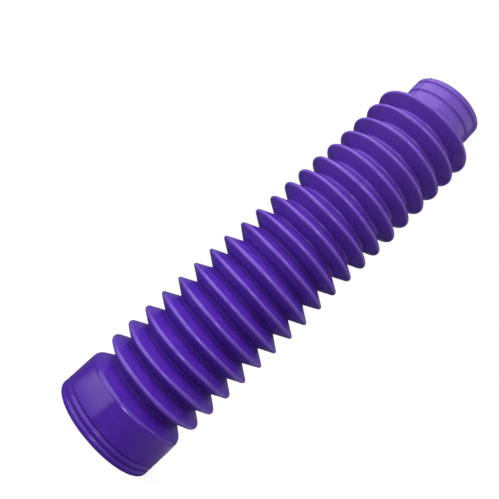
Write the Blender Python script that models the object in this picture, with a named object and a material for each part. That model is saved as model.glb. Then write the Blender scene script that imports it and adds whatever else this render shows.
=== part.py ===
"""A fork gaiter: one soft moulded bellows tube, open at both ends.

It stands on its wide collar, with its axis along +Z and the origin at the middle of the collar's
open end. Above the collar come the folds, and above them the narrow neck. The wall is one closed
profile, with the outer skin going up and the inner skin coming down, spun about the axis.
Points of the profile are pairs of radius and height.
"""

import math

import bmesh
import bpy

# Driving dimensions, in metres

# The wide collar
COLLAR_RADIUS = 0.0300
COLLAR_WALL = 0.0024
COLLAR_LIP = 0.0021
COLLAR_BEAD = 0.0014
COLLAR_BAND = 0.0148
SHOULDER_ROUND = 0.0025

# The folds
FOLD_COUNT = 19
FOLD_PITCH = 0.01056
FOLD_DEPTH = 0.0075
FOLD_WALL = 0.0018
VALLEY_WALL = 0.0022
CREST_LAND = 0.0009
FIRST_CREST_RADIUS = 0.0308
LAST_CREST_RADIUS = 0.0292
SHOULDER_RUN = 0.0057
LOWEST_VALLEY_RADIUS = 0.0222
FIRST_FOLD_RUN = 0.0057

# The narrow neck
NECK_RADIUS = 0.0200
NECK_WALL = 0.0021
NECK_RUN = 0.0053
NECK_LOWER_BAND = 0.0053
NECK_UPPER_BAND = 0.0046
NECK_LIP = 0.0024
NECK_SWELL = 0.0003

# The grooves round both ends, and the broken edges of both rims
GROOVE_WIDTH = 0.0016
GROOVE_DEPTH = 0.0006
EDGE_BREAK = 0.0005

# How finely the wall is turned
SEGMENTS = 40
SHOULDER_POINTS = 3
SHARP_ANGLE = math.radians(30.0)
WELD_DISTANCE = 0.000001

# The finish
PVC_COLOUR = (0.085, 0.022, 0.330, 1.0)
PVC_ROUGHNESS = 0.42


def clear_scene():
    """Remove every object that the file holds."""
    for old in list(bpy.data.objects):
        bpy.data.objects.remove(old, do_unlink=True)


def make_soft_pvc():
    """Make the material of the moulding: satin purple soft PVC."""
    material = bpy.data.materials.new("purple_soft_pvc")
    material.use_nodes = True
    shader = material.node_tree.nodes["Principled BSDF"]
    shader.inputs["Base Color"].default_value = PVC_COLOUR
    shader.inputs["Roughness"].default_value = PVC_ROUGHNESS
    shader.inputs["Metallic"].default_value = 0.0
    material.diffuse_color = PVC_COLOUR
    return material


def groove_above(radius, start, upper_radius):
    """Give the three points of a V groove that starts at a height, and the height where it ends."""
    floor = min(radius, upper_radius) - GROOVE_DEPTH
    end = start + GROOVE_WIDTH
    return [(radius, start), (floor, (start + end) / 2), (upper_radius, end)], end


def rounded_corner(before, corner, after, radius, count):
    """Give the points of the arc that rounds the corner between two straight stretches."""
    to_before = unit(corner, before)
    to_after = unit(corner, after)
    half_angle = math.acos(max(-1.0, min(1.0, dot(to_before, to_after)))) / 2
    middle = unit((0.0, 0.0), (to_before[0] + to_after[0], to_before[1] + to_after[1]))
    reach = radius / math.sin(half_angle)
    centre = (corner[0] + middle[0] * reach, corner[1] + middle[1] * reach)
    tangent = radius / math.tan(half_angle)
    first = (corner[0] + to_before[0] * tangent, corner[1] + to_before[1] * tangent)
    last = (corner[0] + to_after[0] * tangent, corner[1] + to_after[1] * tangent)
    start = math.atan2(first[1] - centre[1], first[0] - centre[0])
    sweep = math.atan2(last[1] - centre[1], last[0] - centre[0]) - start
    angles = [start + sweep * step / (count - 1) for step in range(count)]
    return [(centre[0] + radius * math.cos(a), centre[1] + radius * math.sin(a)) for a in angles]


def unit(start, end):
    """Give the direction from one profile point to another."""
    along = (end[0] - start[0], end[1] - start[1])
    length = math.hypot(*along)
    return (along[0] / length, along[1] / length)


def dot(one, other):
    """Give the scalar product of two directions."""
    return one[0] * other[0] + one[1] * other[1]


def inner_flank(flank, wall):
    """Shift a flank of the outer skin inwards by the wall, square to the flank."""
    start, end = flank
    along = unit(start, end)
    inwards = (-along[1] * wall, along[0] * wall)
    return [(point[0] + inwards[0], point[1] + inwards[1]) for point in flank]


def height_at(flank, radius):
    """Give the height at which a flank, made longer where need be, has a radius."""
    start, end = flank
    share = (radius - start[0]) / (end[0] - start[0])
    return start[1] + (end[1] - start[1]) * share


def meeting_point(one, other):
    """Give the point where two flanks meet, each made longer where need be."""
    rise_one = (one[1][1] - one[0][1]) / (one[1][0] - one[0][0])
    rise_other = (other[1][1] - other[0][1]) / (other[1][0] - other[0][0])
    gap = other[0][1] - rise_other * other[0][0] - one[0][1] + rise_one * one[0][0]
    radius = gap / (rise_one - rise_other)
    return (radius, height_at(one, radius))


def crest_radius(fold):
    """Give the radius of a fold's crest, which shrinks evenly from the collar to the neck."""
    share = fold / max(FOLD_COUNT - 1, 1)
    return FIRST_CREST_RADIUS + (LAST_CREST_RADIUS - FIRST_CREST_RADIUS) * share


def collar_skin():
    """Give the outer points from the open end to the corner of the shoulder, and that corner."""
    points = [(COLLAR_RADIUS - EDGE_BREAK, 0.0), (COLLAR_RADIUS, EDGE_BREAK)]
    lower_groove, height = groove_above(COLLAR_RADIUS, COLLAR_LIP, COLLAR_RADIUS)
    upper_groove, height = groove_above(COLLAR_RADIUS, height + COLLAR_BEAD, COLLAR_RADIUS)
    corner = (COLLAR_RADIUS, height + COLLAR_BAND)
    return points + lower_groove + upper_groove, corner


def fold_flanks(shoulder):
    """Give the flanks of the outer skin in order, from the shoulder's to the one that ends at the neck."""
    valley = (LOWEST_VALLEY_RADIUS, shoulder[1] + SHOULDER_RUN)
    flanks = [(shoulder, valley)]
    crest_height = valley[1] + FIRST_FOLD_RUN
    for fold in range(FOLD_COUNT):
        radius = crest_radius(fold)
        flanks.append((valley, (radius, crest_height - CREST_LAND / 2)))
        if fold < FOLD_COUNT - 1:
            valley_radius = (radius + crest_radius(fold + 1)) / 2 - FOLD_DEPTH
            valley = (valley_radius, crest_height + FOLD_PITCH / 2)
        else:
            valley = (NECK_RADIUS, crest_height + NECK_RUN)
        flanks.append(((radius, crest_height + CREST_LAND / 2), valley))
        crest_height += FOLD_PITCH
    return flanks


def neck_skin(foot):
    """Give the outer points of the neck above its foot, up to its open end."""
    swollen = NECK_RADIUS + NECK_SWELL
    lower_groove, height = groove_above(NECK_RADIUS, foot[1] + NECK_LOWER_BAND, swollen)
    upper_groove, height = groove_above(swollen, height + NECK_UPPER_BAND, swollen)
    top = height + NECK_LIP
    return lower_groove + upper_groove + [(swollen, top - EDGE_BREAK), (swollen - EDGE_BREAK, top)]


def outer_skin():
    """Give the outer skin's points, going up, and the flanks that its folds are made of."""
    points, shoulder = collar_skin()
    flanks = fold_flanks(shoulder)
    points += rounded_corner(points[-1], shoulder, flanks[0][1], SHOULDER_ROUND, SHOULDER_POINTS)
    points.append(flanks[0][1])
    for rising, falling in zip(flanks[1::2], flanks[2::2]):
        points += [rising[1], falling[0], falling[1]]
    points += neck_skin(points[-1])
    return points, flanks


def inner_skin(flanks, top):
    """Give the inner skin's points, going up, each flank a wall's thickness inside the outer one."""
    collar_bore = COLLAR_RADIUS - COLLAR_WALL
    neck_bore = NECK_RADIUS - NECK_WALL
    inner = [inner_flank(flank, FOLD_WALL) for flank in flanks]
    points = [(collar_bore, 0.0), (collar_bore, height_at(inner[0], collar_bore))]
    for index in range(0, len(flanks) - 1, 2):
        floor = flanks[index][1][0] - VALLEY_WALL
        points.append((floor, height_at(inner[index], floor)))
        points.append((floor, height_at(inner[index + 1], floor)))
        points.append(meeting_point(inner[index + 1], inner[index + 2]))
    points += [(neck_bore, height_at(inner[-1], neck_bore)), (neck_bore, top)]
    return points


def spin_profile(name, profile):
    """Turn a closed profile about +Z into one solid mesh, shaded smooth up to the sharp angle."""
    shape = bmesh.new()
    corners = [shape.verts.new((radius, 0.0, height)) for radius, height in profile]
    edges = [shape.edges.new((corners[i - 1], corners[i])) for i in range(len(corners))]
    bmesh.ops.spin(
        shape,
        geom=corners + edges,
        cent=(0.0, 0.0, 0.0),
        axis=(0.0, 0.0, 1.0),
        angle=2 * math.pi,
        steps=SEGMENTS,
        use_merge=True,
    )
    bmesh.ops.remove_doubles(shape, verts=shape.verts, dist=WELD_DISTANCE)
    bmesh.ops.recalc_face_normals(shape, faces=shape.faces)
    mesh = bpy.data.meshes.new(name)
    shape.to_mesh(mesh)
    shape.free()
    mesh.shade_smooth()
    mesh.set_sharp_from_angle(angle=SHARP_ANGLE)
    return mesh


def make_gaiter():
    """Make the gaiter, the one piece of the part."""
    outside, flanks = outer_skin()
    inside = inner_skin(flanks, outside[-1][1])
    mesh = spin_profile("gaiter", outside + inside[::-1])
    mesh.materials.append(make_soft_pvc())
    gaiter = bpy.data.objects.new("gaiter", mesh)
    bpy.context.scene.collection.objects.link(gaiter)
    return gaiter


clear_scene()
make_gaiter()
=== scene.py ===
"""The finished look of a fork gaiter: one soft purple bellows tube, standing on its wide collar."""

import logging
import math
from dataclasses import dataclass
from enum import Enum
from functools import partial, reduce

import bpy
import numpy as np
from mathutils import Matrix, Vector, noise


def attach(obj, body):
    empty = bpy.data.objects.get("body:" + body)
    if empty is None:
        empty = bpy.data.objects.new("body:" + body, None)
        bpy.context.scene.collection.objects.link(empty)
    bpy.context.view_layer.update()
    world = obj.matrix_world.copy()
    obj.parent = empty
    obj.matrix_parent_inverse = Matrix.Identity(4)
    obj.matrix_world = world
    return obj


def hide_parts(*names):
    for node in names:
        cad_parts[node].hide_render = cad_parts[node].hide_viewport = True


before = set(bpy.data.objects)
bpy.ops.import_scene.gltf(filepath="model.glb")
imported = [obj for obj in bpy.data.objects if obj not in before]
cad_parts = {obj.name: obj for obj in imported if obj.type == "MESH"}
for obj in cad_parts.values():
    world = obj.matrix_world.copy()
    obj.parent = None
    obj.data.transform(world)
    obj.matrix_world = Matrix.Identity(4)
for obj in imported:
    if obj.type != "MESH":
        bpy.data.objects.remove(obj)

LOG = logging.getLogger("gaiter")
NODE = "gaiter"
BODY = "root"
MM = 0.001

# Chords in the rounding of a small corner
FEW_STEPS = 3

# The numbers that the mesh holds for each of its points, which the finish reads
# CREST marks the crests, which get a painted highlight and less roughness.
CREST = "crest"
# HOLLOW sets the painted shade and the dulling in the low valleys.
HOLLOW = "hollow"

Point = tuple[float, float]
Colour = tuple[float, float, float]
Socket = bpy.types.NodeSocket

WHITE = (1.0, 1.0, 1.0)


class Shows(Enum):
    """What a lamp shows in: the plain shading, the reflections, or both."""

    SHADING = "shading"
    SHINE = "shine"
    BOTH = "both"


@dataclass(frozen=True)
class Step:
    """A smooth step in how much there is of something.

    Attributes:
        start: Where it is still 0.
        end: Where it is full, above or below the start.
        most: How much it then is.
    """

    start: float
    end: float
    most: float = 1.0


@dataclass(frozen=True)
class Corner:
    """A corner of the wall's outline, in metres, before it is rounded.

    Attributes:
        radius: Distance from the axis.
        height: Height above the collar's open end.
        rounding: Radius of the arc that rounds it. The ends of an outline have none.
        steps: Chords in that arc.
    """

    radius: float
    height: float
    rounding: float = 0.0
    steps: int = 4


def rounded_outline(corners: list[Corner], holding: float) -> list[Point]:
    """Round a string of corners into a smooth outline.

    Args:
        corners: The corners in order. The first and the last stay sharp.
        holding: Distance from an arc of the extra points that keep a flank flat, or 0.

    Returns:
        Pairs of radius and height, in metres.
    """
    outline: list[Point] = [(corners[0].radius, corners[0].height)]
    for before, corner, after in zip(corners, corners[1:], corners[2:]):
        here = Vector((corner.radius, corner.height))
        back = Vector((before.radius, before.height)) - here
        ahead = Vector((after.radius, after.height)) - here
        half = back.angle(ahead) / 2
        tangent = corner.rounding / math.tan(half)
        back, ahead = back.normalized(), ahead.normalized()
        centre = here + (back + ahead).normalized() * (corner.rounding / math.sin(half))
        start = here + back * tangent
        turn = math.pi - 2 * half
        side = math.copysign(1.0, back.x * ahead.y - back.y * ahead.x)
        if holding > 0.0:
            outline.append(tuple(start + back * holding))
        for step in range(corner.steps + 1):
            spoke = Matrix.Rotation(-side * turn * step / corner.steps, 2) @ (start - centre)
            outline.append(tuple(centre + spoke))
        if holding > 0.0:
            outline.append(tuple(here + ahead * (tangent + holding)))
    outline.append((corners[-1].radius, corners[-1].height))
    return outline


def divided(outline: list[Point], longest: float) -> list[Point]:
    """Divide an outline's long stretches evenly, so that unevenness has points to move.

    Args:
        outline: Pairs of radius and height, in metres.
        longest: Length above which a stretch is divided.

    Returns:
        The outline with the points added.
    """
    found = outline[:1]
    for start, end in zip(outline, outline[1:]):
        parts = max(1, math.ceil(math.dist(start, end) / longest))
        along = np.subtract(end, start)
        found += [tuple(np.add(start, along * part / parts)) for part in range(1, parts + 1)]
    return found


@dataclass(frozen=True)
class Groove:
    """A rounded groove round the tube.

    Attributes:
        width: Width between its lips.
        depth: Depth of its floor, before rounding.
        lip_round: Rounding of its lips.
        floor_round: Rounding of its floor.
    """

    width: float = 1.6 * MM
    depth: float = 0.85 * MM
    lip_round: float = 0.9 * MM
    floor_round: float = 0.4 * MM

    def corners(self, radius: float, height: float, below: float) -> list[Corner]:
        """Work out the outline of the groove.

        Args:
            radius: Radius above the groove.
            height: Height of the lower lip.
            below: Radius below the groove.

        Returns:
            The lower lip, the floor and the upper lip.
        """
        return [
            Corner(below, height, self.lip_round, FEW_STEPS),
            Corner(radius - self.depth, height + self.width / 2, self.floor_round, FEW_STEPS),
            Corner(radius, height + self.width, self.lip_round, FEW_STEPS),
        ]


@dataclass(frozen=True)
class Collar:
    """The wide collar: a lip, a bead between two grooves, a plain band and a soft shoulder.

    Attributes:
        radius: Radius of the lip, the bead and the band.
        wall: Wall of the collar.
        lip: Height of the lip.
        bead: Height of the bead.
        band: Height from the upper groove to the shoulder's corner.
        groove: The groove on either side of the bead.
        edge_round: Rounding of the open end's edge.
        shoulder_round: Rounding of the shoulder.
        shoulder_steps: Chords in that rounding.
    """

    radius: float = 30.0 * MM
    wall: float = 2.4 * MM
    lip: float = 2.1 * MM
    bead: float = 1.4 * MM
    band: float = 14.6 * MM
    groove: Groove = Groove()
    edge_round: float = 0.6 * MM
    shoulder_round: float = 2.9 * MM
    shoulder_steps: int = 8

    def corners(self) -> list[Corner]:
        """Work out the outline of the outside.

        Returns:
            The outer corners, from the open end up to the shoulder.
        """
        found = [Corner(self.radius - self.wall / 2, 0.0), Corner(self.radius, 0.0, self.edge_round)]
        for height in (self.lip, self.lip + self.groove.width + self.bead):
            found += self.groove.corners(self.radius, height, self.radius)
        found.append(Corner(self.radius, self.top(), self.shoulder_round, self.shoulder_steps))
        return found

    def top(self) -> float:
        """Give the height of the shoulder's corner."""
        return self.lip + 2 * self.groove.width + self.bead + self.band


@dataclass(frozen=True)
class Folds:
    """The nineteen V-shaped folds between the collar and the neck.

    Attributes:
        count: Number of folds.
        pitch: Spacing of the crests.
        depth: Depth from a crest to a valley.
        lowest_valley: Radius of the deep valley between the shoulder and the first fold.
        shoulder_run: Height from the shoulder's corner to that valley.
        first_run: Height from that valley to the first crest.
        crest_round: Rounding of a crest.
        valley_rounds: Heights and the rounding of a valley there.
        crest_steps: Chords in a crest's rounding.
        valley_steps: Chords in a valley's rounding.
        wide_run: Number and crest radius of the folds next to the collar.
        middle_run: Number and crest radius of the folds in the middle.
        narrow_run: Number and crest radius of the folds next to the neck.
        slack: Folds and how far each has settled up from an even spacing, and evenly between them.
        crest_band: Depth below a crest over which the crest mark, which sets the painted crest highlight,
            falls to 0.
        valley_shade: Heights and how much painted shade, and dulling, a valley there gets.
    """

    count: int = 19
    pitch: float = 10.56 * MM
    depth: float = 7.5 * MM
    lowest_valley: float = 22.2 * MM
    shoulder_run: float = 5.9 * MM
    first_run: float = 5.7 * MM
    crest_round: float = 1.1 * MM
    valley_rounds: tuple[Point, ...] = ((105.0 * MM, 0.25 * MM), (170.0 * MM, 1.1 * MM))
    crest_steps: int = 6
    valley_steps: int = 5
    wide_run: tuple[int, float] = (8, 30.65 * MM)
    middle_run: tuple[int, float] = (6, 29.85 * MM)
    narrow_run: tuple[int, float] = (5, 29.2 * MM)
    slack: tuple[Point, ...] = (
        (0.0, -0.2 * MM), (1.0, -0.2 * MM), (2.0, 0.2 * MM), (6.0, 0.6 * MM), (7.0, 0.1 * MM),
        (8.0, 0.6 * MM), (10.0, 0.3 * MM), (13.0, -0.5 * MM), (14.0, -0.2 * MM), (18.0, 0.1 * MM),
    )
    crest_band: float = 1.7 * MM
    valley_shade: tuple[Point, ...] = ((125.0 * MM, 1.0), (170.0 * MM, 0.30))

    def crest_radius(self, fold: int) -> float:
        """Give the radius at the top of a fold's crest: the mould has three runs of equal folds."""
        runs = (self.wide_run, self.middle_run, self.narrow_run)
        return [radius for size, radius in runs for _ in range(size)][fold]

    def crest_height(self, fold: int, shoulder: float) -> float:
        """Give the height of a fold's crest, where the shoulder's corner has the height given."""
        settled = float(np.interp(fold, *zip(*self.slack)))
        return shoulder + self.shoulder_run + self.first_run + self.pitch * fold + settled

    def below_crests(self, outline: np.ndarray) -> np.ndarray:
        """Work out how deep each point lies below the lower of the two crests beside it.

        Args:
            outline: Radius and height of each point.

        Returns:
            A depth for each point in metres, 0 on a crest.
        """
        found = np.zeros(len(outline))
        for index, (radius, height) in enumerate(outline):
            away = outline[:, 1] - height
            below = outline[(away <= 0.0) & (away > -self.pitch), 0].max()
            above = outline[(away >= 0.0) & (away < self.pitch), 0].max()
            found[index] = max(min(below, above) - radius, 0.0)
        return found

    def crestness(self, outline: np.ndarray, shoulder: float) -> np.ndarray:
        """Work out where the crests are, and not the collar or the neck.

        Args:
            outline: Radius and height of each point.
            shoulder: Height of the shoulder's corner.

        Returns:
            A number for each point: 1 on a crest, falling to 0 a little below it.
        """
        crest = np.clip(1.0 - self.below_crests(outline) / self.crest_band, 0.0, 1.0)
        height = outline[:, 1]
        last = self.crest_height(self.count - 1, shoulder) + self.crest_band
        return np.where((height > shoulder + self.shoulder_run) & (height < last), crest, 0.0)

    def valley_shading(self, outline: np.ndarray) -> np.ndarray:
        """Give each point its share of painted valley shade and dulling, from 0 on a crest to 1 at the
        bottom of a low valley.
        """
        fading = np.interp(outline[:, 1], *zip(*self.valley_shade))
        return fading * np.clip(self.below_crests(outline) / self.depth, 0.0, 1.0)

    def overshoot(self, rounding: float) -> float:
        """Give how far a sharp corner stands beyond its rounding, between two flanks."""
        half = math.atan2(self.pitch / 2, self.depth + self.crest_round + rounding)
        return rounding * (1.0 / math.sin(half) - 1.0)

    def valleys(self, shoulder: float) -> list[Point]:
        """Work out where the valleys are.

        Args:
            shoulder: Height of the shoulder's corner.

        Returns:
            The radius and height of each valley's bottom, from the lowest up.
        """
        found = [(self.lowest_valley, shoulder + self.shoulder_run)]
        for fold in range(self.count - 1):
            radius = (self.crest_radius(fold) + self.crest_radius(fold + 1)) / 2 - self.depth
            height = (self.crest_height(fold, shoulder) + self.crest_height(fold + 1, shoulder)) / 2
            found.append((radius, height))
        return found

    def corners(self, shoulder: float) -> list[Corner]:
        """Work out the outline of the folds' outside.

        Args:
            shoulder: Height of the shoulder's corner.

        Returns:
            The outer corners, from the lowest valley to the last crest.
        """
        beyond = self.overshoot(self.crest_round)
        found: list[Corner] = []
        for fold, (radius, height) in enumerate(self.valleys(shoulder)):
            rounding = float(np.interp(height, *zip(*self.valley_rounds)))
            found.append(Corner(radius - self.overshoot(rounding), height, rounding, self.valley_steps))
            found.append(Corner(self.crest_radius(fold) + beyond, self.crest_height(fold, shoulder),
                                self.crest_round, self.crest_steps))
        return found


@dataclass(frozen=True)
class Neck:
    """The narrow neck: two bands and a lip, parted by two grooves.

    Attributes:
        radius: Radius of the lower band.
        swell: How much larger the upper band and the lip are in radius.
        wall: Wall of the neck.
        run: Height from the last crest to the neck's foot.
        lower_band: Height of the lower band.
        upper_band: Height of the upper band.
        lip: Height of the lip.
        groove: Either groove.
        foot_round: Rounding where the neck leaves the last fold.
        edge_round: Rounding of the open end's edge.
    """

    radius: float = 20.0 * MM
    swell: float = 0.3 * MM
    wall: float = 2.1 * MM
    run: float = 5.3 * MM
    lower_band: float = 5.3 * MM
    upper_band: float = 4.6 * MM
    lip: float = 2.4 * MM
    groove: Groove = Groove(depth=0.75 * MM, lip_round=0.45 * MM)
    foot_round: float = 0.8 * MM
    edge_round: float = 0.6 * MM

    def corners(self, foot: float) -> list[Corner]:
        """Work out the outline of the outside.

        Args:
            foot: Height of the neck's foot.

        Returns:
            The outer corners, from the foot up to the open end.
        """
        swollen = self.radius + self.swell
        first = foot + self.lower_band
        second = first + self.groove.width + self.upper_band
        top = self.top(foot)
        return [
            Corner(self.radius, foot, self.foot_round),
            *self.groove.corners(swollen, first, self.radius),
            *self.groove.corners(swollen, second, swollen),
            Corner(swollen, top, self.edge_round),
            Corner(swollen - self.wall / 2, top),
        ]

    def top(self, foot: float) -> float:
        """Give the height of the open end."""
        return foot + self.lower_band + self.upper_band + 2 * self.groove.width + self.lip


@dataclass(frozen=True)
class Inside:
    """The hollow inside, which follows the folds more softly than the outside does.

    Attributes:
        valley_wall: Wall under a valley.
        valley_reach: How far the sharp corner under a valley stands beyond that wall.
        valley_round: Rounding under a valley.
        crest_wall: Wall from a crest to the sharp corner under it.
        crest_round: Rounding under a crest.
        shoulder_drop: Height from the top of the collar's bore to the shoulder's corner.
        bore_round: Rounding where a bore meets the folds.
    """

    valley_wall: float = 2.2 * MM
    valley_reach: float = 0.5 * MM
    valley_round: float = 1.2 * MM
    crest_wall: float = 2.2 * MM
    crest_round: float = 0.6 * MM
    shoulder_drop: float = 0.9 * MM
    bore_round: float = 1.0 * MM

    def corners(self, collar: Collar, folds: Folds, neck: Neck, foot: float) -> list[Corner]:
        """Work out the outline of the inside.

        Args:
            collar: Sizes of the collar.
            folds: Sizes of the folds.
            neck: Sizes of the neck.
            foot: Height of the neck's foot.

        Returns:
            The inner corners, going up.
        """
        shoulder = collar.top()
        bore = collar.radius - collar.wall
        top = shoulder - self.shoulder_drop
        found = [Corner(bore, 0.0), Corner(bore, top, self.bore_round, FEW_STEPS)]
        for fold, (radius, height) in enumerate(folds.valleys(shoulder)):
            found.append(Corner(radius - self.valley_wall - self.valley_reach, height,
                                self.valley_round, FEW_STEPS))
            found.append(Corner(folds.crest_radius(fold) - self.crest_wall,
                                folds.crest_height(fold, shoulder), self.crest_round, FEW_STEPS))
        neck_bore = neck.radius - neck.wall
        found.append(Corner(neck_bore, foot, self.bore_round, FEW_STEPS))
        found.append(Corner(neck_bore, neck.top(foot)))
        return found


@dataclass(frozen=True)
class Seam:
    """The parting lines that the two halves of the mould leave along opposite sides.

    Attributes:
        angle: Angle of the first line from +X, in degrees. The other is opposite.
        offsets: Angles of the columns of points on and beside a line, in radians.
        margin: Angle beyond those columns that stays free of others, in radians.
        fine: Height of the fine line on the folds and the collar.
        fine_side: Angle from the line's top to its edge, in radians.
        flash: Height of the thicker flash on the neck.
        flash_side: Angle from the middle of the flash to its edge, in radians.
        flash_slope: Angle over which the flash falls to that edge, in radians.
        flash_start: Height above the neck's foot at which the flash starts.
        rag: How far the flash's height varies along it, as a share.
        rag_size: Length of that variation.
        rag_mean: Mean height of the flash, as a share.
        rag_range: Least and greatest height of the flash, as shares.
        rag_layer: Layer of the noise for it, and the step between the two lines.
    """

    angle: float = 217.0
    offsets: tuple[float, ...] = (-0.060, -0.036, -0.022, -0.010, 0.0, 0.010, 0.022, 0.036, 0.060)
    margin: float = 0.02
    fine: float = 0.10 * MM
    fine_side: float = 0.012
    flash: float = 0.35 * MM
    flash_side: float = 0.030
    flash_slope: float = 0.012
    flash_start: float = 0.3 * MM
    rag: float = 0.9
    rag_size: float = 1.1 * MM
    rag_mean: float = 0.75
    rag_range: tuple[float, float] = (0.15, 1.2)
    rag_layer: tuple[float, float] = (3.0, 7.0)

    def angles(self) -> list[float]:
        """Give both lines' angles, in radians."""
        first = math.radians(self.angle)
        return [first, first - math.pi]

    def reach(self) -> float:
        """Give the angle from a line within which it has columns of its own."""
        return self.offsets[-1] + self.margin

    def ridge(self, angles: np.ndarray, height: np.ndarray, foot: float) -> np.ndarray:
        """Work out how far the lines stand proud.

        Args:
            angles: Angle of each column.
            height: Height of each point, by row and column.
            foot: Height of the neck's foot, above which the line is a thicker flash.

        Returns:
            The rise in radius of each point, in metres.
        """
        rise = np.zeros_like(height)
        layer, apart = self.rag_layer
        for side, line in enumerate(self.angles()):
            away = np.abs(angles - line)
            thin = np.clip(1.0 - away / self.fine_side, 0.0, 1.0)
            thick = np.clip((self.flash_side - away) / self.flash_slope, 0.0, 1.0)
            rag = np.array([noise.noise(Vector((side * apart, level / self.rag_size, layer)))
                            for level in height[:, 0]])
            flash = self.flash * np.clip(self.rag_mean + self.rag * rag, *self.rag_range)[:, None]
            rise += np.where(height > foot + self.flash_start, flash * thick, self.fine * thin)
        return rise


@dataclass(frozen=True)
class Unevenness:
    """How far the soft moulding strays from a true round, after it was pulled hot off its core.

    Attributes:
        size: Size of the waves across the round, in metres.
        size_radius: Radius at which they have that size.
        spread: Size of the waves along the tube, in metres.
        drift: How far a crest or a valley strays along the tube.
        drift_layer: Layer of the noise for that.
        swell: How far a crest or a valley strays in and out.
        swell_layer: Layer of the noise for that.
        flat_ends: Height over which the drift dies out towards an open end.
    """

    size: float = 26.0 * MM
    size_radius: float = 30.0 * MM
    spread: float = 9.0 * MM
    drift: float = 0.42 * MM
    drift_layer: float = 37.0
    swell: float = 0.22 * MM
    swell_layer: float = 11.0
    flat_ends: float = 12.0 * MM

    def waves(self, angles: np.ndarray, height: np.ndarray, layer: float) -> np.ndarray:
        """Work out smooth noise for each point, from its angle and height.

        Args:
            angles: Angle of each column.
            height: Height of each point, by row and column.
            layer: Layer of the noise.

        Returns:
            A number from -1 to 1 for each point.
        """
        ring = self.size_radius / self.size
        found = np.empty_like(height)
        for column, angle in enumerate(angles):
            across, along = ring * math.cos(angle), ring * math.sin(angle)
            found[:, column] = [noise.noise(Vector((across + layer, along - layer, level / self.spread)))
                                for level in height[:, column]]
        return found

    def sideways(self, angles: np.ndarray, height: np.ndarray) -> np.ndarray:
        """Give how far each point strays from its radius."""
        return self.swell * self.waves(angles, height, self.swell_layer)

    def lengthways(self, angles: np.ndarray, height: np.ndarray) -> np.ndarray:
        """Give how far each point strays along the tube. The two open ends stay flat."""
        ends = np.clip(np.minimum(height, height.max() - height) / self.flat_ends, 0.0, 1.0)
        return self.drift * ends * self.waves(angles, height, self.drift_layer)


@dataclass(frozen=True)
class Lean:
    """The gentle bend of the upper folds and the neck, as of a soft tube that was stored bent.

    Attributes:
        start: Height above which the tube bends.
        rate: Sideways shift towards -X in metres, for each square metre of height above that.
    """

    start: float = 170.0 * MM
    rate: float = 0.52

    def bent(self, points: np.ndarray) -> np.ndarray:
        """Bend the tube.

        Args:
            points: Array whose last axis holds the coordinates.

        Returns:
            The points with the axis curved, and each section still square to it.
        """
        past = np.maximum(points[..., 2] - self.start, 0.0)
        moved = points.copy()
        moved[..., 0] -= self.rate * past**2
        moved[..., 2] += 2 * self.rate * past * points[..., 0]
        return moved


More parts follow.
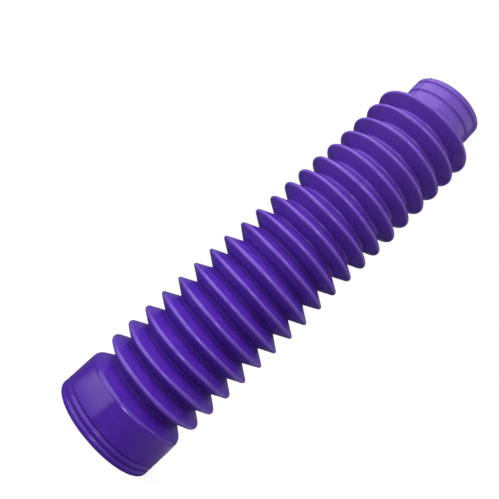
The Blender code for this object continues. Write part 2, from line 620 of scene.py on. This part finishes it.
class Graph:
    """The nodes of one material, with a method for each kind of node."""

    def __init__(self, tree: bpy.types.NodeTree) -> None:
        """Start with a material's own nodes."""
        self.tree = tree

    def feed(self, target: Socket, value: Socket | Colour | float) -> None:
        """Set what a socket gets.

        Args:
            target: The socket.
            value: Its value, or the socket that works it out.
        """
        if isinstance(value, Socket):
            self.tree.links.new(value, target)
        elif isinstance(value, tuple) and len(target.default_value) == 4:
            target.default_value = (*value, 1.0)
        else:
            target.default_value = value

    def node(self, kind: str, inputs: dict[str, Socket | Colour | float] | None = None,
             **settings: str) -> bpy.types.Node:
        """Add a node.

        Args:
            kind: Its type.
            inputs: What its sockets get, by their names.
            settings: Its settings, by their names.

        Returns:
            The node.
        """
        node = self.tree.nodes.new(kind)
        for name, setting in settings.items():
            setattr(node, name, setting)
        for name, value in (inputs or {}).items():
            self.feed(node.inputs[name], value)
        return node

    def output(self, kind: str, name: str) -> Socket:
        """Add a node and give its named output."""
        return self.node(kind).outputs[name]

    def attribute(self, name: str) -> Socket:
        """Give a number that the mesh holds for each of its points."""
        return self.node("ShaderNodeAttribute", attribute_name=name).outputs["Fac"]

    def part(self, place: Socket, axis: str) -> Socket:
        """Give one coordinate of a position."""
        return self.node("ShaderNodeSeparateXYZ", {"Vector": place}).outputs[axis]

    def noise(self, place: Socket, size: float, detail: float) -> Socket:
        """Give smooth noise from 0 to 1, of the size given in metres."""
        inputs = {"Vector": place, "Scale": 1.0 / size, "Detail": detail}
        return self.node("ShaderNodeTexNoise", inputs).outputs["Fac"]

    def cells(self, place: Socket, size: float) -> Socket:
        """Give the distance to the nearest of many scattered points, as a share of their spacing."""
        inputs = {"Vector": place, "Scale": 1.0 / size}
        return self.node("ShaderNodeTexVoronoi", inputs).outputs["Distance"]

    def ramp(self, value: Socket, step: Step) -> Socket:
        """Turn a value into a smooth step."""
        inputs = {"Value": value, "From Min": step.start, "From Max": step.end, "To Max": step.most}
        return self.node("ShaderNodeMapRange", inputs, interpolation_type="SMOOTHSTEP").outputs["Result"]

    def maths(self, operation: str, *values: Socket | float) -> Socket:
        """Work out a number.

        Args:
            operation: What is worked out.
            values: What it is worked out from.

        Returns:
            The result.
        """
        node = self.node("ShaderNodeMath", operation=operation)
        for target, value in zip(node.inputs, values):
            self.feed(target, value)
        return node.outputs["Value"]

    def product(self, first: Socket, second: Socket | float) -> Socket:
        """Multiply two values."""
        return self.maths("MULTIPLY", first, second)

    def total(self, *values: Socket | float) -> Socket:
        """Add values, from the left."""
        return reduce(partial(self.maths, "ADD"), values)

    def scaled(self, value: Socket, factor: float, added: float) -> Socket:
        """Multiply a value and add to it."""
        return self.maths("MULTIPLY_ADD", value, factor, added)

    def mix(self, share: Socket, first: Socket | Colour, second: Socket | Colour) -> Socket:
        """Mix two colours.

        Args:
            share: Share of the second colour.
            first: The first colour.
            second: The second colour.

        Returns:
            The mixed colour.
        """
        node = self.node("ShaderNodeMix", {"Factor": share}, data_type="RGBA")
        ends = [socket for socket in node.inputs if socket.type == "RGBA"]
        self.feed(ends[0], first)
        self.feed(ends[1], second)
        return next(socket for socket in node.outputs if socket.type == "RGBA")

    def bump(self, height: Socket, depth: float, below: Socket | None = None) -> Socket:
        """Raise relief of the depth given, in metres, on top of any coarser relief."""
        inputs = {"Height": height, "Distance": depth} | ({} if below is None else {"Normal": below})
        return self.node("ShaderNodeBump", inputs).outputs["Normal"]


@dataclass(frozen=True)
class Marks:
    """What the finish is worked out from, at each place on the skin.

    Attributes:
        place: Position on the object.
        rise: Height on the object.
        cloud: The soft clouds.
        grain: The fine grain.
        ring: The faint rings.
        crest: 1 on a crest, falling to 0 on the flanks.
        valley_shade: Share of painted valley shade and dulling.
    """

    place: Socket
    rise: Socket
    cloud: Socket
    grain: Socket
    ring: Socket
    crest: Socket
    valley_shade: Socket


@dataclass(frozen=True)
class SoftPvc:
    """The finish of the moulding: satin purple soft PVC with the fine marks of its mould, with painted
    highlights on the crests, painted sheen and painted shade.

    Attributes:
        name: Name of the material.
        deep: Colour where the dye lies thickest.
        pale: Colour where it lies thinnest.
        grey_sheen: Colour of the painted grey sheen towards the neck.
        crest_highlight: Colour of the painted highlight on the crests.
        speck: Colour of the small specks in the skin.
        shade_colour: Colour of the painted shade in the low valleys, and partly on the collar.
        pale_clouds: Share of the pale colour, by cloud.
        pale_rings: Share of the pale colour, by ring.
        grey_sheen_share: Share of the painted sheen, by height.
        collar_shade: Share of the painted shade on the collar, by height.
        valley_shade_share: Share of the painted valley shade, by depth in a low valley.
        highlight_patches: Painted highlight on the crests in patches, by noise.
        crest_highlight_share: Painted highlight on the crests all along, by nearness to a crest.
        dots: Strength of a speck, by distance from its middle.
        gatherings: Where there are specks, by noise.
        roughness: Roughness on a clean flank.
        cloud_dulling: Change in roughness from the smoothest cloud to the dullest.
        grain_dulling: Change in roughness from the smoothest grain to the dullest.
        crest_dulling: Change in roughness on a crest.
        valley_dulling: Change in roughness, by depth in a low valley.
        collar_dulling: Change in roughness, by height.
        ior: Index of refraction.
        cloud_size: Size of the soft clouds, in metres, as each size and height below.
        grain_size: Size of the fine grain.
        ring_size: Spacing of the faint rings that the turned mould leaves.
        ring_length: Length over which a ring varies.
        highlight_patch_size: Size of the patches of painted highlight.
        speck_spacing: Spacing of the specks.
        gathering_size: Size of the places with specks.
        ripple_size: Size of the slow ripples in the skin.
        ripple_height: Height of those ripples.
        grain_height: Height of the grain.
        ring_height: Height of the rings.
    """

    name: str = "purple_soft_pvc"
    deep: Colour = (0.066, 0.0145, 0.330)
    pale: Colour = (0.077, 0.0190, 0.356)
    grey_sheen: Colour = (0.098, 0.034, 0.340)
    crest_highlight: Colour = (0.160, 0.070, 0.480)
    speck: Colour = (0.230, 0.140, 0.520)
    shade_colour: Colour = (0.032, 0.0045, 0.185)
    pale_clouds: Step = Step(0.36, 0.64)
    pale_rings: Step = Step(0.45, 0.85, 0.5)
    grey_sheen_share: Step = Step(60.0 * MM, 230.0 * MM)
    collar_shade: Step = Step(26.0 * MM, 20.0 * MM, 0.32)
    valley_shade_share: Step = Step(0.45, 1.15, 0.80)
    highlight_patches: Step = Step(0.42, 0.72, 0.30)
    crest_highlight_share: Step = Step(0.45, 1.0, 0.50)
    dots: Step = Step(0.060, 0.030, 0.8)
    gatherings: Step = Step(0.54, 0.60)
    roughness: float = 0.27
    cloud_dulling: float = 0.06
    grain_dulling: float = 0.05
    crest_dulling: float = -0.07
    valley_dulling: Step = Step(0.86, 0.97, 0.45)
    collar_dulling: Step = Step(26.0 * MM, 20.0 * MM, -0.10)
    ior: float = 1.5
    cloud_size: float = 9.0 * MM
    grain_size: float = 0.9 * MM
    ring_size: float = 0.55 * MM
    ring_length: float = 26.0 * MM
    highlight_patch_size: float = 2.6 * MM
    speck_spacing: float = 3.4 * MM
    gathering_size: float = 5.0 * MM
    ripple_size: float = 6.3 * MM
    ripple_height: float = 0.020 * MM
    grain_height: float = 0.004 * MM
    ring_height: float = 0.004 * MM

    def build(self) -> bpy.types.Material:
        """Make the node material.

        Returns:
            The material, worked out on the object itself.
        """
        material = bpy.data.materials.new(self.name)
        material.use_nodes = True
        material.diffuse_color = (*self.deep, 1.0)
        graph = Graph(material.node_tree)
        place = graph.output("ShaderNodeTexCoord", "Object")
        scale = (1.0, 1.0, self.ring_length / self.ring_size)
        squeezed = graph.node("ShaderNodeMapping", {"Vector": place, "Scale": scale}).outputs["Vector"]
        marks = Marks(
            place=place,
            rise=graph.part(place, "Z"),
            cloud=graph.noise(place, self.cloud_size, detail=3.0),
            grain=graph.noise(place, self.grain_size, detail=2.0),
            ring=graph.noise(squeezed, self.ring_length, detail=2.0),
            crest=graph.attribute(CREST),
            valley_shade=graph.attribute(HOLLOW),
        )
        shader = material.node_tree.nodes["Principled BSDF"]
        shader.inputs["IOR"].default_value = self.ior
        graph.feed(shader.inputs["Base Color"], self.colour(graph, marks))
        graph.feed(shader.inputs["Roughness"], self.dullness(graph, marks))
        graph.feed(shader.inputs["Normal"], self.relief(graph, marks))
        return material

    def colour(self, graph: Graph, marks: Marks) -> Socket:
        """Work out the colour: clouded purple with painted highlights on the crests, a few specks, painted
        grey sheen towards the neck and painted shade on the collar and in the valleys.

        Args:
            graph: The material's nodes.
            marks: What the finish is worked out from.

        Returns:
            The colour.
        """
        tone = graph.mix(graph.ramp(marks.cloud, self.pale_clouds), self.deep, self.pale)
        tone = graph.mix(graph.ramp(marks.ring, self.pale_rings), tone, self.pale)
        # Painted sheen: greyer towards the neck.
        tone = graph.mix(graph.ramp(marks.rise, self.grey_sheen_share), tone, self.grey_sheen)
        # Painted shade: the whole collar is darker.
        tone = graph.mix(graph.ramp(marks.rise, self.collar_shade), tone, self.shade_colour)
        # Painted highlight: the crests turn paler all along and in patches.
        patchy = graph.ramp(graph.noise(marks.place, self.highlight_patch_size, detail=3.0), self.highlight_patches)
        highlighted = graph.total(graph.product(marks.crest, patchy), graph.ramp(marks.crest, self.crest_highlight_share))
        tone = graph.mix(highlighted, tone, self.crest_highlight)
        dots = graph.ramp(graph.cells(marks.place, self.speck_spacing), self.dots)
        few = graph.ramp(graph.noise(marks.place, self.gathering_size, detail=1.0), self.gatherings)
        tone = graph.mix(graph.product(dots, few), tone, self.speck)
        # Painted shade: the low valleys darken towards their bottoms.
        return graph.mix(graph.ramp(marks.valley_shade, self.valley_shade_share), tone, self.shade_colour)

    def dullness(self, graph: Graph, marks: Marks) -> Socket:
        """Work out the roughness: cloudy, smoother on the crests and the collar, and dull at the bottom of
        the low valleys.

        Args:
            graph: The material's nodes.
            marks: What the finish is worked out from.

        Returns:
            The roughness.
        """
        return graph.total(
            graph.scaled(marks.cloud, self.cloud_dulling, self.roughness - self.cloud_dulling / 2),
            graph.scaled(marks.grain, self.grain_dulling, -self.grain_dulling / 2),
            graph.product(marks.crest, self.crest_dulling),
            graph.ramp(marks.valley_shade, self.valley_dulling),
            graph.ramp(marks.rise, self.collar_dulling),
        )

    def relief(self, graph: Graph, marks: Marks) -> Socket:
        """Work out the direction that the skin faces, with slow ripples, faint rings and grain."""
        slow = graph.bump(graph.noise(marks.place, self.ripple_size, detail=1.0), self.ripple_height)
        return graph.bump(marks.grain, self.grain_height, graph.bump(marks.ring, self.ring_height, slow))


@dataclass(frozen=True)
class Gaiter:
    """The gaiter, moulded in one piece, and dressed in soft PVC.

    Attributes:
        collar: Sizes of the wide collar.
        folds: Sizes of the folds.
        neck: Sizes of the neck.
        inside: Sizes of the hollow inside.
        seam: The mould's parting lines.
        unevenness: How far the moulding strays from a true round.
        lean: The bend of its upper part.
        finish: The finish of the whole moulding.
        columns: Number of columns round the axis, besides those at the parting lines.
        holding: Distance from a rounding of the points that keep the flank beside it flat.
        longest: Greatest length of a face along the outside.
        inner_longest: Greatest length of a face along the inside.
    """

    collar: Collar = Collar()
    folds: Folds = Folds()
    neck: Neck = Neck()
    inside: Inside = Inside()
    seam: Seam = Seam()
    unevenness: Unevenness = Unevenness()
    lean: Lean = Lean()
    finish: SoftPvc = SoftPvc()
    columns: int = 128
    holding: float = 0.25 * MM
    longest: float = 3.4 * MM
    inner_longest: float = 13.6 * MM

    def foot(self) -> float:
        """Give the height of the neck's foot."""
        return self.folds.crest_height(self.folds.count - 1, self.collar.top()) + self.neck.run

    def outer_corners(self) -> list[Corner]:
        """Give every corner of the outer skin, going up."""
        folds = self.folds.corners(self.collar.top())
        return [*self.collar.corners(), *folds, *self.neck.corners(self.foot())]

    def inner_corners(self) -> list[Corner]:
        """Give every corner of the inner skin, going up."""
        return self.inside.corners(self.collar, self.folds, self.neck, self.foot())

    def angles(self) -> np.ndarray:
        """Work out the angle of each column, with closer ones at the two parting lines.

        Returns:
            The angles in radians, going up.
        """
        even = np.linspace(0.0, 2 * math.pi, self.columns, endpoint=False)
        far = np.ones_like(even, dtype=bool)
        close: list[float] = []
        for line in self.seam.angles():
            far &= np.abs(even - line) > self.seam.reach()
            close += [line + offset for offset in self.seam.offsets]
        return np.sort(np.concatenate([even[far], close]))

    def build(self) -> bpy.types.Object:
        """Turn the outline into the gaiter's mesh and dress it.

        Returns:
            The object, which rides on the part's body and stands for its solid.
        """
        outer = divided(rounded_outline(self.outer_corners(), self.holding), self.longest)
        inner = divided(rounded_outline(self.inner_corners(), 0.0), self.inner_longest)
        outline = np.array(outer + inner[::-1])
        outside = np.arange(len(outline))[:, None] < len(outer)
        angles = self.angles()
        radius, height = (np.repeat(outline[:, axis:axis + 1], len(angles), axis=1) for axis in (0, 1))
        ridge = outside * self.seam.ridge(angles, height, self.foot())
        radius += ridge
        radius += self.unevenness.sideways(angles, height)
        height += self.unevenness.lengthways(angles, height)
        points = np.stack([radius * np.cos(angles), radius * np.sin(angles), height], axis=-1)
        mesh = grid_mesh("gaiter_wall", self.lean.bent(points))
        crest = outside * self.folds.crestness(outline, self.collar.top())[:, None]
        valley_shade = outside * self.folds.valley_shading(outline)[:, None]
        # The crest number also covers the neck's flash, which so gets the crests' painted highlight.
        mark(mesh, CREST, np.maximum(crest, ridge / self.seam.flash))
        # The hollow number sets the painted valley shade and dulling.
        mark(mesh, HOLLOW, np.broadcast_to(valley_shade, height.shape))
        mesh.materials.append(self.finish.build())
        piece = bpy.data.objects.new("gaiter_wall", mesh)
        bpy.context.scene.collection.objects.link(piece)
        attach(piece, BODY)
        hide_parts(NODE)
        return piece


def grid_mesh(name: str, points: np.ndarray) -> bpy.types.Mesh:
    """Make a smooth mesh from a grid of points that closes on itself both ways.

    Args:
        name: Name of the mesh.
        points: Array of rows, columns and three coordinates.

    Returns:
        The mesh, with its faces outward where rows go up and columns go anticlockwise.
    """
    rows, columns = points.shape[:2]
    row, column = np.meshgrid(np.arange(rows), np.arange(columns), indexing="ij")
    above, beside = (row + 1) % rows, (column + 1) % columns
    faces = np.stack([row * columns + column, row * columns + beside,
                      above * columns + beside, above * columns + column], axis=-1)
    mesh = bpy.data.meshes.new(name)
    mesh.from_pydata(points.reshape(-1, 3).tolist(), [], faces.reshape(-1, 4).tolist())
    mesh.shade_smooth()
    mesh.update()
    return mesh


def mark(mesh: bpy.types.Mesh, name: str, values: np.ndarray) -> None:
    """Give the mesh a number for each of its points."""
    mesh.attributes.new(name, "FLOAT", "POINT").data.foreach_set("value", values.ravel())


@dataclass(frozen=True)
class Lamp:
    """A soft round studio lamp.

    Attributes:
        name: Name of the lamp.
        bearing: Angle from the camera's side (-Y) towards -X, in degrees.
        reach: Level distance from the gaiter's axis, in metres.
        height: Height above the floor, in metres.
        size: Width of its face, in metres.
        watts: Power.
        shows: What it shows in.
    """

    name: str
    bearing: float
    reach: float
    height: float
    size: float
    watts: float
    shows: Shows = Shows.BOTH

    def build(self, middle: Vector) -> bpy.types.Object:
        """Make the lamp.

        Args:
            middle: The point that it faces.

        Returns:
            The lamp's object.
        """
        data = bpy.data.lights.new(self.name, "AREA")
        data.shape = "DISK"
        data.size = self.size
        data.energy = self.watts
        lamp = bpy.data.objects.new(self.name, data)
        bpy.context.scene.collection.objects.link(lamp)
        bearing = math.radians(self.bearing)
        beside, behind = -math.sin(bearing) * self.reach, -math.cos(bearing) * self.reach
        lamp.location = Vector((beside, behind, self.height))
        lamp.rotation_euler = (lamp.location - middle).to_track_quat("Z", "Y").to_euler()
        lamp.visible_camera = False
        lamp.visible_diffuse = self.shows is not Shows.SHINE
        lamp.visible_glossy = self.shows is not Shows.SHADING
        return lamp


@dataclass(frozen=True)
class GlossyGlow:
    """A glowing patch of the floor beside the gaiter, which only its reflections show: a painted
    reflection.

    Attributes:
        tint: Colour of the glow.
        start: Where it begins, by bearing in degrees.
        end: Where it ends, by bearing.
        far: The fainter glow on the other side, by bearing.
        near: Where it begins, by distance from the gaiter's axis in metres.
        reach: Its brightness and where it ends, by that distance.
    """

    tint: Colour = (1.0, 0.90, 0.88)
    start: Step = Step(17.5, 24.0)
    end: Step = Step(96.0, 66.0)
    far: Step = Step(-15.0, -65.0, 0.17)
    near: Step = Step(0.025, 0.110)
    reach: Step = Step(0.22, 0.10, 2.4)

    def light(self, graph: Graph, place: Socket, away: Socket) -> Socket:
        """Work out how bright the glow is.

        Args:
            graph: The floor's nodes.
            place: Position on the floor.
            away: Distance from the gaiter's axis.

        Returns:
            The brightness.
        """
        across, along = (graph.product(graph.part(place, axis), -1.0) for axis in "XY")
        bearing = graph.maths("DEGREES", graph.maths("ARCTAN2", across, along))
        side = graph.product(graph.ramp(bearing, self.start), graph.ramp(bearing, self.end))
        both = graph.total(side, graph.ramp(bearing, self.far))
        within = graph.product(graph.ramp(away, self.near), graph.ramp(away, self.reach))
        return graph.product(within, both)


@dataclass(frozen=True)
class Floor:
    """The pale floor, which the camera sees white, with the gaiter's shadow.

    Attributes:
        size: Side of the floor, in metres.
        grey: Share of the light that it throws back.
        mirrored_loss: Part of that share that reflections don't show.
        roughness: Roughness of the floor.
        lift: Light that the camera sees on it besides, so that it looks white.
        lift_ring: More of that light, by distance from the gaiter's axis in metres, up to full white.
        glossy_glow: The glowing patch on it, which only reflections show.
    """

    size: float = 6.0
    grey: float = 0.30
    mirrored_loss: float = 0.7
    roughness: float = 0.9
    lift: float = 0.80
    lift_ring: Step = Step(0.15, 0.60, 0.20)
    glossy_glow: GlossyGlow = GlossyGlow()

    def build(self) -> None:
        """Lay the floor under the collar."""
        half = self.size / 2
        mesh = bpy.data.meshes.new("floor")
        corners = [(-half, -half, 0.0), (half, -half, 0.0), (half, half, 0.0), (-half, half, 0.0)]
        mesh.from_pydata(corners, [], [(0, 1, 2, 3)])
        mesh.materials.append(self.material())
        floor = bpy.data.objects.new("floor", mesh)
        bpy.context.scene.collection.objects.link(floor)

    def material(self) -> bpy.types.Material:
        """Make the floor's material.

        Returns:
            A matt pale material.
        """
        material = bpy.data.materials.new("pale_floor")
        material.use_nodes = True
        graph = Graph(material.node_tree)
        place = graph.output("ShaderNodeTexCoord", "Object")
        away = graph.node("ShaderNodeVectorMath", operation="LENGTH")
        graph.feed(away.inputs[0], place)
        distance = away.outputs["Value"]
        ray = graph.node("ShaderNodeLightPath")
        seen, mirrored = ray.outputs["Is Camera Ray"], ray.outputs["Is Glossy Ray"]
        lift = graph.product(graph.total(graph.ramp(distance, self.lift_ring), self.lift), seen)
        # Painted reflection: a glowing patch of floor that only glossy rays see.
        glossy_glow = graph.product(self.glossy_glow.light(graph, place, distance), mirrored)
        matt = material.node_tree.nodes["Principled BSDF"]
        matt.inputs["Roughness"].default_value = self.roughness
        matt.inputs["Specular IOR Level"].default_value = 0.0
        grey = graph.scaled(mirrored, -self.mirrored_loss * self.grey, self.grey)
        graph.feed(matt.inputs["Base Color"], grey)
        graph.feed(matt.inputs["Emission Strength"], graph.total(lift, glossy_glow))
        graph.feed(matt.inputs["Emission Color"], graph.mix(mirrored, WHITE, self.glossy_glow.tint))
        return material


@dataclass(frozen=True)
class Studio:
    """The floor, the plain white surroundings and the soft lamps.

    Attributes:
        floor: The floor.
        ambient: Light that comes from all round.
        middle: Height of the gaiter's middle, which the lamps face.
        lamps: The lamps.
    """

    floor: Floor = Floor()
    ambient: float = 0.16
    middle: float = 0.12
    lamps: tuple[Lamp, ...] = (
        Lamp("key", 52.0, 0.38, 0.30, 0.40, 1.72, Shows.SHADING),
        Lamp("soft_box", 60.0, 0.38, 0.30, 0.62, 1.70, Shows.SHINE),
        Lamp("top_box", -10.0, 0.38, 0.33, 0.56, 0.80),
        Lamp("overhead", 0.0, 0.02, 0.75, 0.40, 0.40, Shows.SHADING),
        Lamp("low_left", 45.0, 0.38, 0.06, 0.24, 0.58, Shows.SHADING),
        Lamp("low_right", -75.0, 0.30, 0.05, 0.24, 0.20, Shows.SHADING),
        Lamp("right_sheen", -108.0, 0.32, 0.08, 0.34, 0.09, Shows.SHINE),
        Lamp("neck_right", -78.0, 0.24, 0.34, 0.28, 0.18),
        Lamp("neck_left", 105.0, 0.24, 0.32, 0.24, 0.07),
        Lamp("back_left", 140.0, 0.50, 0.30, 0.40, 0.95, Shows.SHADING),
        Lamp("back_right", -140.0, 0.50, 0.30, 0.40, 0.95, Shows.SHADING),
        Lamp("flash", 0.0, 0.36, 0.11, 0.08, 0.28, Shows.SHINE),
    )

    def build(self) -> None:
        """Make the floor, the world and the lamps."""
        self.floor.build()
        self.make_world()
        for lamp in self.lamps:
            lamp.build(Vector((0.0, 0.0, self.middle)))

    def make_world(self) -> None:
        """Make the surroundings white to the camera and a dim grey to everything else."""
        world = bpy.data.worlds.new("studio")
        world.use_nodes = True
        graph = Graph(world.node_tree)
        seen = graph.output("ShaderNodeLightPath", "Is Camera Ray")
        background = world.node_tree.nodes["Background"]
        graph.feed(background.inputs["Color"], WHITE)
        graph.feed(background.inputs["Strength"], graph.scaled(seen, 1.0 - self.ambient, self.ambient))
        bpy.context.scene.world = world


@dataclass(frozen=True)
class PhotoCamera:
    """The camera at the photograph's viewing angle.

    Attributes:
        place: Where it stands, in metres.
        turn: Turn to the left of straight ahead along +Y, in degrees.
        rise: Tilt above the horizon, in degrees.
        roll: Roll of the picture, in degrees.
        focal_px: Focal length in pixels of the photograph.
        centre_px: Where the lens's axis meets the photograph.
        frame_px: Width and height of the photograph.
        sensor: Width of the sensor, in millimetres.
        nearest: Distance from which things are seen, in metres.
    """

    place: tuple[float, float, float] = (0.00035, -0.2804, 0.0919)
    turn: float = 3.15
    rise: float = 6.75
    roll: float = 47.77
    focal_px: float = 541.2
    centre_px: tuple[float, float] = (271.0, 235.3)
    frame_px: float = 499.0
    sensor: float = 36.0
    nearest: float = 0.01

    def build(self) -> None:
        """Make the camera and make it the scene's own."""
        data = bpy.data.cameras.new("photo_camera")
        data.sensor_width = self.sensor
        data.lens = self.sensor * self.focal_px / self.frame_px
        data.shift_x = (self.frame_px / 2 - self.centre_px[0]) / self.frame_px
        data.shift_y = (self.centre_px[1] - self.frame_px / 2) / self.frame_px
        data.clip_start = self.nearest
        camera = bpy.data.objects.new("photo_camera", data)
        bpy.context.scene.collection.objects.link(camera)
        camera.location = self.place
        facing = Matrix.Rotation(math.radians(self.turn), 3, "Z")
        facing @= Matrix.Rotation(math.radians(90.0 + self.rise), 3, "X")
        facing @= Matrix.Rotation(math.radians(self.roll), 3, "Z")
        camera.rotation_euler = facing.to_euler()
        bpy.context.scene.camera = camera


def main() -> None:
    """Build the gaiter, the studio and the camera."""
    logging.basicConfig(level=logging.INFO, format="%(message)s")
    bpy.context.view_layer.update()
    wall = Gaiter().build()
    LOG.info("%s: %d faces", wall.name, len(wall.data.polygons))
    Studio().build()
    PhotoCamera().build()
    bpy.context.scene.view_settings.view_transform = "Standard"


if __name__ == "__main__":
    main()
